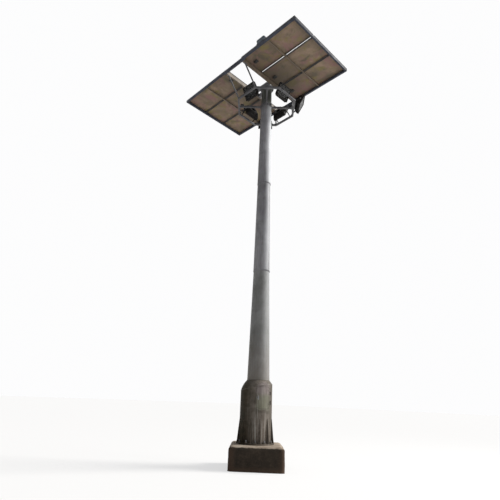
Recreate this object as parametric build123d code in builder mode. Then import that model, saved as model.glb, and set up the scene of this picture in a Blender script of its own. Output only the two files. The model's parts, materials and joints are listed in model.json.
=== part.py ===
from build123d import *
import math
import os

# High mast floodlight tower with a solar canopy. Millimetres, +Z up.
# Origin: centre of the underside of the concrete plinth. X runs along the canopy.

# ---- overall sizes ----
plinth_side = 1480.0
plinth_height = 600.0
plinth_turn = 45.0
plinth_bevel = 30.0
canopy_height = 13000.0
canopy_length = 5620.0
canopy_gap = 800.0
canopy_shift = (-135.0, -135.0)

# ---- base ----
compartment_radius = 450.0
compartment_wall = 10.0
compartment_shift = (-29.0, -29.0)
compartment_height = 1620.0
hood_thickness = 12.0
hood_depth = 340.0
hood_bulge = (75.0, 215.0)
hood_margin = 10.0
hood_clearance = 5.0
flange_overhang = 75.0
flange_thickness = 40.0
cable_hole_radius = 250.0
rib_count = 12
rib_thickness = 16.0
rib_height = 610.0
rib_top_width = 12.0
bolt_radius = 16.0
bolt_hole_clearance = 1.5
bolt_embedment = 250.0
bolt_stickout = 75.0
nut_across_flats = 50.0
nut_height = 28.0
washer_radius = 29.0
washer_thickness = 5.0

# ---- access door ----
door_angle = -17.0
door_width = 470.0
door_height = 580.0
door_top_margin = 175.0
door_corner = 150.0
door_gap = 6.0
hinge_offset = 15.0
knuckle_radius = 9.0
knuckle_length = 45.0
knuckle_gap = 1.0
pin_radius = 5.0
pin_clearance = 0.08
hinge_inset = 165.0
leaf_thickness = 6.0
leaf_width = 42.0
handle_radius = 16.0
handle_height = 14.0
handle_inset = 48.0
handle_bar = (22.0, 110.0, 10.0)

# ---- mast ----
mast_wall = 8.0
lower_bottom_radius = 324.0
lower_top_radius = 252.0
lower_top_level = 5550.0
middle_top_radius = 220.0
middle_top_level = 8700.0
upper_top_radius = 184.0
head_plate_thickness = 20.0
head_plate_radius = 260.0
slip_length = 550.0

# ---- canopy frame ----
beam_depth = 140.0
beam_width = 60.0
tube_wall = 6.0
edge_depth = 80.0
rail_depth = 40.0
rail_width = 40.0
rail_wall = 4.0
link_depth = 70.0
link_width = 48.0
link_top_overlap = 220.0
link_bottom_overlap = 60.0
head_beam_width = 80.0
head_beam_spacing = 260.0
module_count = 3
module_width = 963.0
module_gaps_east = (48.0, 23.0)
module_gaps_west = (14.0, 14.0)
module_depth = 40.0
module_wall = 14.0
module_lip = 30.0
module_lip_thickness = 3.0
laminate_thickness = 6.0
laminate_drop = 3.0
junction_box = (160.0, 110.0, 28.0)
junction_box_inset = 260.0

# ---- lamp ring ----
ring_apothem = 1050.0
ring_bar = 60.0
ring_drop = 1030.0
ring_sides = 8
collar_radius = 218.0
collar_height = 100.0
collar_weld = 5.0
arm_width = 50.0
arm_angles = (45.0, 135.0, 225.0, 315.0)
hanger_size = 40.0
hanger_spread = 1300.0

# ---- floodlights ----
lamp_angles = (0.0, 45.0, 90.0, 135.0, 180.0, 270.0)
lamp_sides = (-1, 1, -1, 1, -1, -1)
lamp_rise = 190.0
lamp_clearance = 7.0
lamp_width = 560.0
lamp_height = 500.0
lamp_front = 90.0
lamp_back = 130.0
lamp_back_height = 300.0
lamp_back_width = 400.0
lamp_rim = 20.0
lamp_wall = 12.0
lamp_glass_inset = 10.0
lamp_glass_thickness = 6.0
lamp_aim = 25.0
cheek_gap = 8.0
cheek_thickness = 8.0
cheek_radius = 35.0
cheek_foot = 20.0
lamp_pin_radius = 12.0
lamp_pin_clearance = 0.08
lamp_pin_stickout = 12.0

# ---- edge unit ----
unit_along = 1168.0
unit_length = 365.0
unit_depth = 400.0
unit_height = 196.0
unit_corner = 24.0
unit_edge_round = 10.0
unit_lift = 4.0
unit_shelf_thickness = 10.0
unit_shelf_width = 300.0
unit_plate_height = 130.0

# ---- derived sizes ----
shift_x, shift_y = canopy_shift
comp_x, comp_y = compartment_shift
flange_top = plinth_height + flange_thickness
compartment_top = flange_top + compartment_height
hood_reach = compartment_radius + math.hypot(comp_x, comp_y) + hood_margin
flange_radius = compartment_radius + flange_overhang
bolt_circle = compartment_radius + flange_overhang / 2
door_middle = compartment_top - door_top_margin - door_height / 2
head_beam_bottom = canopy_height - beam_depth
mast_top = head_beam_bottom - head_plate_thickness
middle_bottom_radius = lower_top_radius + mast_wall
upper_bottom_radius = middle_top_radius + mast_wall
canopy_width = module_count * module_width + sum(module_gaps_east)
inner_face = canopy_gap / 2
side_length = (canopy_length - canopy_gap) / 2
rail_at = inner_face + side_length / 2
ring_bottom = canopy_height - ring_drop
ring_top = ring_bottom + ring_bar
ring_centre = ring_apothem - ring_bar / 2
ring_half_turn = 180.0 / ring_sides
lamp_level = ring_top + lamp_rise
lamp_swing = math.hypot(lamp_height / 2, lamp_front) + lamp_clearance
lamp_offset = ring_bar / 2 + math.sqrt(lamp_swing ** 2 - lamp_rise ** 2)
canopy_edge = shift_y - canopy_width / 2
unit_bottom = canopy_height + module_depth + unit_lift + unit_shelf_thickness
unit_y = canopy_edge + unit_depth / 2

os.makedirs("parts", exist_ok=True)


def save(builder, name):
    """Label a finished sub-part and write its STEP file."""
    builder.part.label = name
    export_step(builder.part, "parts/" + name + ".step")


def taper(z, z_low, r_low, z_high, r_high):
    """Radius of a straight taper at height z."""
    return r_low + (r_high - r_low) * (z - z_low) / (z_high - z_low)


def upper_radius(z):
    """Outer radius of the upper mast section at height z."""
    return taper(z, middle_top_level, upper_bottom_radius, mast_top, upper_top_radius)


def middle_radius(z):
    """Outer radius of the middle mast section at height z."""
    return taper(z, lower_top_level, middle_bottom_radius, middle_top_level, middle_top_radius)


def revolve_points(points):
    """Turn a closed outline of (radius, height) points about the mast axis."""
    with BuildSketch(Plane.XZ) as outline:
        with BuildLine():
            Polyline(*points, close=True)
        make_face()
    revolve(outline.sketch, axis=Axis.Z)


def polar(radius, angle):
    """Point at a radius and an angle in degrees."""
    return radius * math.cos(math.radians(angle)), radius * math.sin(math.radians(angle))


rib_angles = [i * 360.0 / rib_count for i in range(rib_count)]
bolt_angles = [a + 180.0 / rib_count for a in rib_angles]
bolt_points = [
    (comp_x + polar(bolt_circle, a)[0], comp_y + polar(bolt_circle, a)[1]) for a in bolt_angles
]
base_plane = Plane((comp_x, comp_y, 0))

# ================= base =================

with BuildPart() as plinth:
    with BuildSketch():
        Rectangle(plinth_side, plinth_side, rotation=plinth_turn)
    extrude(amount=plinth_height)
    chamfer(plinth.edges().group_by(Axis.Z)[-1], plinth_bevel)
    chamfer(plinth.edges().filter_by(Axis.Z), plinth_bevel)
    with BuildSketch(Plane.XY.offset(plinth_height)):
        with Locations(*bolt_points):
            Circle(bolt_radius)
    extrude(amount=-bolt_embedment, mode=Mode.SUBTRACT)
save(plinth, "plinth")

with BuildPart() as base_flange:
    with BuildSketch(Plane.XY.offset(plinth_height)):
        with Locations((comp_x, comp_y)):
            Circle(flange_radius)
            Circle(cable_hole_radius, mode=Mode.SUBTRACT)
        with Locations(*bolt_points):
            Circle(bolt_radius + bolt_hole_clearance, mode=Mode.SUBTRACT)
    extrude(amount=flange_thickness)
save(base_flange, "base_flange")

with BuildPart() as base_ribs:
    for angle in rib_angles:
        turned = base_plane.rotated((0, 0, angle))
        with BuildSketch(turned.offset(flange_top)):
            with Locations((compartment_radius, 0)):
                Rectangle(flange_overhang, rib_thickness, align=(Align.MIN, Align.CENTER))
        with BuildSketch(turned.offset(flange_top + rib_height)):
            with Locations((compartment_radius, 0)):
                Rectangle(rib_top_width, rib_thickness, align=(Align.MIN, Align.CENTER))
        loft(ruled=True)
save(base_ribs, "base_ribs")

with BuildPart() as anchor_bolts:
    with BuildSketch(Plane.XY.offset(plinth_height - bolt_embedment)):
        with Locations(*bolt_points):
            Circle(bolt_radius)
    extrude(amount=bolt_embedment + flange_thickness + bolt_stickout)
save(anchor_bolts, "anchor_bolts")

with BuildPart() as anchor_nuts:
    with BuildSketch(Plane.XY.offset(flange_top)):
        with Locations(*bolt_points):
            Circle(washer_radius)
            Circle(bolt_radius, mode=Mode.SUBTRACT)
    extrude(amount=washer_thickness)
    with BuildSketch(Plane.XY.offset(flange_top + washer_thickness)):
        with Locations(*bolt_points):
            RegularPolygon(nut_across_flats / 2, 6, major_radius=False)
            Circle(bolt_radius, mode=Mode.SUBTRACT)
    extrude(amount=nut_height)
save(anchor_nuts, "anchor_nuts")

# Door plane: vertical, through the compartment axis, facing the door.
door_plane = Plane(
    origin=(comp_x, comp_y, door_middle),
    x_dir=(*polar(1.0, door_angle + 90.0), 0),
    z_dir=(*polar(1.0, door_angle), 0),
)

def hood_body(drop):
    """Fill the compartment's cylinder up to the hood, lowered by drop.

    The hood is a shallow dome about the mast axis that rolls down to the compartment wall.
    """
    with BuildSketch(Plane.XY.offset(flange_top)) as disc:
        with Locations((comp_x, comp_y)):
            Circle(compartment_radius)
    extrude(disc.sketch, amount=compartment_height)
    top = compartment_top - drop
    start = top - hood_depth
    with BuildSketch(Plane.XZ) as dome:
        with BuildLine():
            roll = ThreePointArc(
                (hood_reach, start),
                (hood_reach - hood_bulge[0], start + hood_bulge[1]),
                (lower_bottom_radius + hood_clearance, top),
            )
            Polyline(roll @ 1, (0, top), (0, flange_top), (hood_reach, flange_top), roll @ 0)
        make_face()
    revolve(dome.sketch, axis=Axis.Z, mode=Mode.INTERSECT)


def hollow_out(level, amount):
    """Cut the round inside of the compartment wall."""
    with BuildSketch(Plane.XY.offset(level)) as inside:
        with Locations((comp_x, comp_y)):
            Circle(compartment_radius - compartment_wall)
    extrude(inside.sketch, amount=amount, mode=Mode.SUBTRACT)


with BuildPart() as lowered_hood:
    hood_body(hood_thickness)

with BuildPart() as compartment_hood:
    hood_body(0)
    add(lowered_hood.part, mode=Mode.SUBTRACT)
    with BuildSketch(Plane.XY.offset(compartment_top)):
        Circle(cable_hole_radius)
    extrude(amount=-compartment_height, mode=Mode.SUBTRACT)
save(compartment_hood, "compartment_hood")

with BuildPart() as base_compartment:
    hood_body(hood_thickness)
    hollow_out(flange_top, compartment_height)
    with BuildSketch(door_plane):
        RectangleRounded(door_width, door_height, door_corner)
    extrude(amount=compartment_radius, mode=Mode.SUBTRACT)
save(base_compartment, "base_compartment")

with BuildPart() as compartment_door:
    with BuildSketch(Plane.XY.offset(flange_top)):
        with Locations((comp_x, comp_y)):
            Circle(compartment_radius)
            Circle(compartment_radius - compartment_wall, mode=Mode.SUBTRACT)
    extrude(amount=compartment_height)
    with BuildSketch(door_plane):
        RectangleRounded(door_width - 2 * door_gap, door_height - 2 * door_gap, door_corner - door_gap)
    extrude(amount=compartment_radius, mode=Mode.INTERSECT)
save(compartment_door, "compartment_door")

# Hinge axis: outside the gap on the +x side of the door plane.
hinge_across = door_width / 2 - door_gap / 2
hinge_half_angle = math.degrees(math.asin(hinge_across / compartment_radius))
hinge_angle = door_angle + hinge_half_angle
hinge_x = comp_x + polar(compartment_radius + hinge_offset, hinge_angle)[0]
hinge_y = comp_y + polar(compartment_radius + hinge_offset, hinge_angle)[1]
hinge_levels = [
    door_middle - door_height / 2 + hinge_inset,
    door_middle + door_height / 2 - hinge_inset,
]
leaf_sweep = math.degrees(leaf_width / compartment_radius)


def leaf_sketch(side):
    """Curved leaf on the compartment skin, on one side (+1 or -1) of the hinge axis."""
    inner = compartment_radius
    outer = compartment_radius + leaf_thickness
    near = hinge_angle + side * math.degrees((door_gap / 2) / compartment_radius)
    far = hinge_angle + side * leaf_sweep
    reach = outer / math.cos(math.radians(leaf_sweep))
    with BuildSketch(Plane.XY, mode=Mode.PRIVATE) as leaf:
        Circle(outer)
        Circle(inner, mode=Mode.SUBTRACT)
        with BuildLine():
            Polyline((0, 0), polar(reach, near), polar(reach, far), close=True)
        make_face(mode=Mode.INTERSECT)
    return leaf.sketch


def knuckle_sketch(side, bore):
    """Knuckle round the hinge axis with a web down to the leaf on one side."""
    axis_radius = compartment_radius + hinge_offset
    near = hinge_angle + side * math.degrees((door_gap / 2) / compartment_radius)
    far = hinge_angle + side * math.degrees((door_gap / 2 + leaf_thickness) / compartment_radius)
    low = compartment_radius + leaf_thickness / 2
    with BuildSketch(Plane.XY, mode=Mode.PRIVATE) as knuckle:
        with Locations(polar(axis_radius, hinge_angle)):
            Circle(knuckle_radius)
        with BuildLine():
            Polyline(
                polar(low, near), polar(low, far), polar(axis_radius, far), polar(axis_radius, near),
                close=True,
            )
        make_face()
        if bore > 0:
            with Locations(polar(axis_radius, hinge_angle)):
                Circle(bore, mode=Mode.SUBTRACT)
    return knuckle.sketch


with BuildPart() as hinge_posts:
    for level in hinge_levels:
        low_plane = Plane((comp_x, comp_y, level - knuckle_length))
        extrude(low_plane * leaf_sketch(1), amount=2 * knuckle_length)
        extrude(low_plane * knuckle_sketch(1, 0), amount=knuckle_length - knuckle_gap)
        pin_plane = Plane((hinge_x, hinge_y, level - knuckle_length))
        with BuildSketch(pin_plane):
            Circle(pin_radius)
        extrude(amount=2 * knuckle_length)
save(hinge_posts, "hinge_posts")

with BuildPart() as door_leaves:
    for level in hinge_levels:
        low_plane = Plane((comp_x, comp_y, level - knuckle_length))
        top_plane = Plane((comp_x, comp_y, level))
        extrude(low_plane * leaf_sketch(-1), amount=2 * knuckle_length)
        extrude(top_plane * knuckle_sketch(-1, pin_radius + pin_clearance), amount=knuckle_length)
save(door_leaves, "door_leaves")

with BuildPart() as door_handle:
    handle_plane = door_plane.offset(compartment_radius)
    with BuildSketch(door_plane.offset(compartment_radius - compartment_wall)):
        with Locations((handle_inset - door_width / 2, 0)):
            Circle(handle_radius)
    extrude(amount=compartment_wall + handle_height)
    with BuildSketch(handle_plane.offset(handle_height)):
        with Locations((handle_inset - door_width / 2, 0)):
            Rectangle(handle_bar[0], handle_bar[1])
    extrude(amount=handle_bar[2])
    with BuildSketch(Plane.XY.offset(flange_top)):
        with Locations((comp_x, comp_y)):
            Circle(compartment_radius)
    extrude(amount=compartment_height, mode=Mode.SUBTRACT)
save(door_handle, "door_handle")

# ================= mast =================

lower_spigot_top = lower_top_level + slip_length
lower_spigot_radius = middle_radius(lower_spigot_top) - mast_wall
with BuildPart() as shaft_lower:
    revolve_points([
        (lower_bottom_radius, compartment_top),
        (lower_top_radius, lower_top_level),
        (lower_spigot_radius, lower_spigot_top),
        (lower_spigot_radius - mast_wall, lower_spigot_top),
        (lower_top_radius - mast_wall, lower_top_level),
        (lower_bottom_radius - mast_wall, compartment_top),
    ])
save(shaft_lower, "shaft_lower")

middle_spigot_top = middle_top_level + slip_length
middle_spigot_radius = upper_radius(middle_spigot_top) - mast_wall
with BuildPart() as shaft_middle:
    revolve_points([
        (middle_bottom_radius, lower_top_level),
        (middle_top_radius, middle_top_level),
        (middle_spigot_radius, middle_spigot_top),
        (middle_spigot_radius - mast_wall, middle_spigot_top),
        (middle_top_radius - mast_wall, middle_top_level),
        (lower_top_radius, lower_top_level),
    ])
save(shaft_middle, "shaft_middle")

with BuildPart() as shaft_upper:
    revolve_points([
        (upper_bottom_radius, middle_top_level),
        (upper_top_radius, mast_top),
        (upper_top_radius - mast_wall, mast_top),
        (middle_top_radius, middle_top_level),
    ])
save(shaft_upper, "shaft_upper")

with BuildPart() as head_plate:
    with BuildSketch(Plane.XY.offset(mast_top)):
        Circle(head_plate_radius)
    extrude(amount=head_plate_thickness)
save(head_plate, "head_plate")

# ================= canopy frame =================

with BuildPart() as head_beams:
    with BuildSketch(Plane.YZ.offset(shift_x - canopy_gap / 2)):
        with Locations(
            (-head_beam_spacing / 2, canopy_height - beam_depth / 2),
            (head_beam_spacing / 2, canopy_height - beam_depth / 2),
        ):
            Rectangle(head_beam_width, beam_depth)
            Rectangle(head_beam_width - 2 * tube_wall, beam_depth - 2 * tube_wall, mode=Mode.SUBTRACT)
    extrude(amount=canopy_gap)
save(head_beams, "head_beams")


def edge_beam(side):
    """Hollow beam along one long edge of the canopy."""
    outer = shift_y + side * canopy_width / 2
    with BuildSketch(Plane.YZ.offset(shift_x - canopy_length / 2)) as tube:
        with Locations((outer - side * beam_width / 2, canopy_height - edge_depth / 2)):
            Rectangle(beam_width, edge_depth)
            Rectangle(beam_width - 2 * tube_wall, edge_depth - 2 * tube_wall, mode=Mode.SUBTRACT)
    extrude(tube.sketch, amount=canopy_length)


with BuildPart() as edge_beams:
    edge_beam(-1)
    edge_beam(1)
save(edge_beams, "edge_beams")


def link_beam(side):
    """Tapered stiffener under an edge beam where it crosses the open gap."""
    top = canopy_height - edge_depth
    top_half = canopy_gap / 2 + link_top_overlap
    bottom_half = canopy_gap / 2 + link_bottom_overlap
    outer = shift_y + side * (canopy_width / 2 - beam_width / 2)
    with BuildSketch(Plane.XZ.offset(-outer)) as outline:
        with BuildLine():
            Polyline(
                (shift_x - top_half, top), (shift_x + top_half, top),
                (shift_x + bottom_half, top - link_depth), (shift_x - bottom_half, top - link_depth),
                close=True,
            )
        make_face()
    extrude(outline.sketch, amount=link_width / 2, both=True)


with BuildPart() as link_beams:
    link_beam(-1)
    link_beam(1)
save(link_beams, "link_beams")


def cross_beams(centre, width, depth, wall):
    """Pair of hollow beams across the canopy, between the edge beams."""
    length = canopy_width - 2 * beam_width
    with BuildSketch(Plane.XZ.offset(-shift_y - length / 2)) as pair:
        with Locations(
            (shift_x - centre, canopy_height - depth / 2),
            (shift_x + centre, canopy_height - depth / 2),
        ):
            Rectangle(width, depth)
            Rectangle(width - 2 * wall, depth - 2 * wall, mode=Mode.SUBTRACT)
    extrude(pair.sketch, amount=length)


with BuildPart() as inner_cross_beams:
    cross_beams(inner_face + beam_width / 2, beam_width, beam_depth, tube_wall)
save(inner_cross_beams, "inner_cross_beams")

with BuildPart() as outer_cross_beams:
    cross_beams(canopy_length / 2 - beam_width / 2, beam_width, edge_depth, tube_wall)
save(outer_cross_beams, "outer_cross_beams")

with BuildPart() as middle_rails:
    cross_beams(rail_at, rail_width, rail_depth, rail_wall)
save(middle_rails, "middle_rails")


def module_spots(side):
    """Centres of the modules on one side (+1 east, -1 west)."""
    gaps = module_gaps_east if side > 0 else module_gaps_west
    x = shift_x + side * (inner_face + side_length / 2)
    y = shift_y - (module_count * module_width + sum(gaps)) / 2 + module_width / 2
    spots = [(x, y)]
    for gap in gaps:
        y += module_width + gap
        spots.append((x, y))
    return spots


def module_frames(side):
    """Aluminium frames: a wall all round with a lip turned in at the bottom."""
    spots = module_spots(side)
    inner_length = side_length - 2 * module_wall
    inner_width = module_width - 2 * module_wall
    with BuildSketch(Plane.XY.offset(canopy_height)) as lips:
        with Locations(*spots):
            Rectangle(side_length, module_width)
            Rectangle(side_length - 2 * module_lip, module_width - 2 * module_lip, mode=Mode.SUBTRACT)
    extrude(lips.sketch, amount=module_lip_thickness)
    with BuildSketch(Plane.XY.offset(canopy_height + module_lip_thickness)) as walls:
        with Locations(*spots):
            Rectangle(side_length, module_width)
            Rectangle(inner_length, inner_width, mode=Mode.SUBTRACT)
    extrude(walls.sketch, amount=module_depth - module_lip_thickness)


def laminates(side):
    """Glass and cell sheets held inside the frames."""
    level = canopy_height + module_depth - laminate_drop - laminate_thickness
    with BuildSketch(Plane.XY.offset(level)) as sheets:
        with Locations(*module_spots(side)):
            Rectangle(side_length - 2 * module_wall, module_width - 2 * module_wall)
    extrude(sheets.sketch, amount=laminate_thickness)


with BuildPart() as module_frames_east:
    module_frames(1)
save(module_frames_east, "module_frames_east")

with BuildPart() as module_frames_west:
    module_frames(-1)
save(module_frames_west, "module_frames_west")

with BuildPart() as module_laminates:
    laminates(1)
    laminates(-1)
save(module_laminates, "module_laminates")

with BuildPart() as junction_boxes:
    box_top = canopy_height + module_depth - laminate_drop - laminate_thickness
    box_spots = []
    for side in (1, -1):
        for spot in module_spots(side):
            box_spots.append((shift_x + side * (inner_face + junction_box_inset), spot[1]))
    with BuildSketch(Plane.XY.offset(box_top)):
        with Locations(*box_spots):
            Rectangle(junction_box[0], junction_box[1])
    extrude(amount=-junction_box[2])
save(junction_boxes, "junction_boxes")

# ================= lamp ring =================

with BuildPart() as lamp_ring:
    with BuildSketch(Plane.XY.offset(ring_bottom)):
        RegularPolygon(ring_apothem, ring_sides, major_radius=False, rotation=ring_half_turn)
        RegularPolygon(
            ring_apothem - ring_bar, ring_sides, major_radius=False,
            rotation=ring_half_turn, mode=Mode.SUBTRACT,
        )
    extrude(amount=ring_bar)
save(lamp_ring, "lamp_ring")

collar_bottom = ring_bottom + ring_bar / 2 - collar_height / 2
with BuildPart() as ring_spider:
    revolve_points([
        (upper_radius(collar_bottom), collar_bottom),
        (collar_radius, collar_bottom),
        (collar_radius, collar_bottom + collar_height),
        (upper_radius(collar_bottom + collar_height), collar_bottom + collar_height),
    ])
    for angle in arm_angles:
        with BuildSketch(Plane.XY.offset(ring_bottom).rotated((0, 0, angle))):
            with Locations((ring_apothem - ring_bar, 0)):
                Rectangle(ring_apothem - ring_bar, arm_width, align=(Align.MAX, Align.CENTER))
            Circle(collar_radius - collar_weld, mode=Mode.SUBTRACT)
        extrude(amount=ring_bar)
save(ring_spider, "ring_spider")

with BuildPart() as ring_hangers:
    for side_x in (-1, 1):
        for side_y in (-1, 1):
            low = (side_x * ring_centre * math.tan(math.radians(ring_half_turn)), side_y * ring_centre)
            high = (shift_x + side_x * (inner_face + beam_width / 2), shift_y + side_y * hanger_spread)
            with BuildSketch(Plane.XY.offset(ring_top)):
                with Locations(low):
                    Rectangle(hanger_size, hanger_size)
            with BuildSketch(Plane.XY.offset(head_beam_bottom)):
                with Locations(high):
                    Rectangle(hanger_size, hanger_size)
            loft(ruled=True)
save(ring_hangers, "ring_hangers")

# ================= floodlights =================

cheek_at = lamp_width / 2 + cheek_gap + cheek_thickness / 2


def lamp_reach(number):
    """Pivot distance outwards from the ring's centre line; a lamp inside the ring has less than none."""
    return lamp_sides[number - 1] * lamp_offset


with BuildPart() as lamp_cheeks:
    for number, angle in enumerate(lamp_angles, start=1):
        for side in (-1, 1):
            centre = Plane.XY.rotated((0, 0, angle)).from_local_coords(
                Vector(ring_centre, side * cheek_at, ring_top)
            )
            inward = Vector(*polar(-1.0, angle), 0)
            across = Vector(*polar(1.0, angle + 90.0), 0)
            pivot = (-lamp_reach(number), lamp_rise)
            with BuildSketch(Plane(origin=centre, x_dir=inward, z_dir=across)):
                with Locations((0, cheek_foot / 2)):
                    Rectangle(ring_bar, cheek_foot)
                with Locations(pivot):
                    Circle(cheek_radius)
                make_hull()
                with Locations(pivot):
                    Circle(lamp_pin_radius + lamp_pin_clearance, mode=Mode.SUBTRACT)
            extrude(amount=cheek_thickness / 2, both=True)
save(lamp_cheeks, "lamp_cheeks")


def lamp_plane(number):
    """Plane through a lamp's pivot: z along its aim, x along its pivot axis."""
    angle = lamp_angles[number - 1]
    outward = Vector(*polar(1.0, angle), 0)
    across = Vector(*polar(1.0, angle + 90.0), 0)
    aim = outward * math.cos(math.radians(lamp_aim)) - Vector(0, 0, 1) * math.sin(math.radians(lamp_aim))
    origin = outward * (ring_centre + lamp_reach(number)) + Vector(0, 0, lamp_level)
    return Plane(origin=origin, x_dir=across, z_dir=aim)


def lamp_housing(number):
    """Tapered hollow box with a raised rim, a seat for the glass and two pivot pins."""
    face = lamp_plane(number)
    with BuildSketch(face.offset(-lamp_back)) as back:
        RectangleRounded(lamp_back_width, lamp_back_height, lamp_rim)
    with BuildSketch(face) as middle:
        RectangleRounded(lamp_width - lamp_rim, lamp_height - lamp_rim, lamp_rim)
    loft([back.sketch.face(), middle.sketch.face()], ruled=True)
    extrude(middle.sketch, amount=lamp_front - lamp_rim)
    with BuildSketch(face.offset(lamp_front - 2 * lamp_rim)) as rim:
        RectangleRounded(lamp_width, lamp_height, lamp_rim)
    extrude(rim.sketch, amount=2 * lamp_rim)
    with BuildSketch(face.offset(lamp_front)) as seat:
        Rectangle(lamp_width - 3 * lamp_rim, lamp_height - 3 * lamp_rim)
    extrude(seat.sketch, amount=-lamp_glass_inset - lamp_glass_thickness, mode=Mode.SUBTRACT)
    with BuildSketch(face.offset(lamp_front - lamp_glass_inset - lamp_glass_thickness)) as mouth:
        Rectangle(lamp_width - 5 * lamp_rim, lamp_height - 5 * lamp_rim)
    with BuildSketch(face.offset(lamp_wall - lamp_back)) as bottom:
        Rectangle(lamp_back_width - 3 * lamp_wall, lamp_back_height - 3 * lamp_wall)
    loft([mouth.sketch.face(), bottom.sketch.face()], ruled=True, mode=Mode.SUBTRACT)
    pin_plane = Plane(origin=face.origin, x_dir=face.z_dir, z_dir=face.x_dir)
    with BuildSketch(pin_plane) as pin:
        Circle(lamp_pin_radius)
    extrude(pin.sketch, amount=lamp_width / 2 + cheek_gap + cheek_thickness + lamp_pin_stickout, both=True)


def lamp_glass(number):
    """Front glass seated in the rim."""
    with BuildSketch(lamp_plane(number).offset(lamp_front - lamp_glass_inset)) as pane:
        Rectangle(lamp_width - 3 * lamp_rim, lamp_height - 3 * lamp_rim)
    extrude(pane.sketch, amount=-lamp_glass_thickness)


for number in range(1, len(lamp_angles) + 1):
    with BuildPart() as housing:
        lamp_housing(number)
    save(housing, "lamp_housing_" + str(number))
    with BuildPart() as glass:
        lamp_glass(number)
    save(glass, "lamp_glass_" + str(number))

# ================= edge unit =================

with BuildPart() as unit_bracket:
    with BuildSketch(Plane.XZ.offset(-canopy_edge)):
        with Locations((unit_along, unit_bottom)):
            Rectangle(unit_shelf_width, unit_plate_height, align=(Align.CENTER, Align.MAX))
    extrude(amount=unit_shelf_thickness)
    with BuildSketch(Plane.XY.offset(unit_bottom)):
        with Locations((unit_along, canopy_edge)):
            Rectangle(unit_shelf_width, unit_depth, align=(Align.CENTER, Align.MIN))
    extrude(amount=-unit_shelf_thickness)
save(unit_bracket, "unit_bracket")

with BuildPart() as edge_unit:
    with BuildSketch(Plane.XY.offset(unit_bottom)):
        with Locations((unit_along, unit_y)):
            RectangleRounded(unit_length, unit_depth, unit_corner)
    extrude(amount=unit_height)
    fillet(edge_unit.faces().sort_by(Axis.Z)[-1].edges(), unit_edge_round)
save(edge_unit, "edge_unit")
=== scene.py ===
import json
import math

import bmesh
import bpy
from mathutils import Matrix, Vector, noise


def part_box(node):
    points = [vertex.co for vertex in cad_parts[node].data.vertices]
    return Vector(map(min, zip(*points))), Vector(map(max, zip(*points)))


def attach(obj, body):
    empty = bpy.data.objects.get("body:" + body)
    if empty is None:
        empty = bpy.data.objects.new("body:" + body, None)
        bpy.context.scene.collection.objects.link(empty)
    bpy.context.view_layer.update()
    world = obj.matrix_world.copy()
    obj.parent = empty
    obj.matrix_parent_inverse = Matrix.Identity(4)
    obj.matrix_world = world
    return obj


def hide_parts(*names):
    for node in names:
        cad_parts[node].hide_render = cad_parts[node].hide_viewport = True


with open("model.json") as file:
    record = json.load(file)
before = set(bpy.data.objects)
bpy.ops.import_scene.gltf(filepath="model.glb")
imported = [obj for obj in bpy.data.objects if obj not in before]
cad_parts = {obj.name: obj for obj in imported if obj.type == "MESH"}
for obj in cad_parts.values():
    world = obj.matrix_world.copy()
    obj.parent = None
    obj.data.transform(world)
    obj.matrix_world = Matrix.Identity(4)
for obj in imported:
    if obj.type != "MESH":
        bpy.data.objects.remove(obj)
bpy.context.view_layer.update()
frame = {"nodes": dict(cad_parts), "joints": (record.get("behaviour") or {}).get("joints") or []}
nodes = frame["nodes"]
joints = {j["name"]: j for j in frame["joints"]}
LAMPS = range(1, 1 + sum(name.startswith("lamp_tilt") for name in joints))
UP = Vector((0.0, 0.0, 1.0))
EAST = Vector((1.0, 0.0, 0.0))
NORTH = Vector((0.0, 1.0, 0.0))
CORNERS = ((-1, -1), (-1, 1), (1, -1), (1, 1))

# Camera direction, shared with the lights: "away" is the way the camera faces, "across" is to its right.
AZIMUTH = math.radians(44.1)
away = Vector((-math.sin(AZIMUTH), math.cos(AZIMUTH), 0.0))
across = Vector((math.cos(AZIMUTH), math.sin(AZIMUTH), 0.0))


# ---------- places read from the frame

plinth_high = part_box("plinth")[1]
flange_low, flange_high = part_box("base_flange")
hood_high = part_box("compartment_hood")[1]
base_low, base_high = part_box("base_compartment")
door_low, door_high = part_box("compartment_door")
ring_low, ring_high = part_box("lamp_ring")
beam_low, beam_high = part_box("head_beams")
edge_low, edge_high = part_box("edge_beams")
inner_low, inner_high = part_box("inner_cross_beams")
unit_low, unit_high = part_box("edge_unit")
lower_low, lower_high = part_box("shaft_lower")
middle_low, middle_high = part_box("shaft_middle")
upper_low, upper_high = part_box("shaft_upper")

BASE = Vector(((base_low.x + base_high.x) / 2, (base_low.y + base_high.y) / 2, 0.0))
BASE_RADIUS = (base_high.x - base_low.x) / 2
FLANGE_RADIUS = (flange_high.x - flange_low.x) / 2
PLINTH_BEVEL = 0.03
PLINTH_TURN = 45.0
PLINTH_HALF = (plinth_high.x + PLINTH_BEVEL / math.sqrt(2)) / math.sqrt(2)
MAST_WALL = 0.008
MAST_TOP_RADIUS = 0.184
RIB_COUNT = 12
RIB_HEIGHT = 0.61
RIB_THICKNESS = 0.016
DOOR_ANGLE = -17.0
DOOR_WIDTH = 0.47
DOOR_CORNER = 0.15
DOOR_LEVEL = joints["door_hinge"]["pos_m"][2]
RING_BAR = ring_high.z - ring_low.z
RING_CENTRE = ring_high.x - RING_BAR / 2
RING_TURN = 45.0
RING_TILT = math.radians(RING_TURN / 2)
RING_CORNER = RING_CENTRE / math.cos(RING_TILT)
MODULE_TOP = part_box("module_frames_east")[1].z


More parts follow.
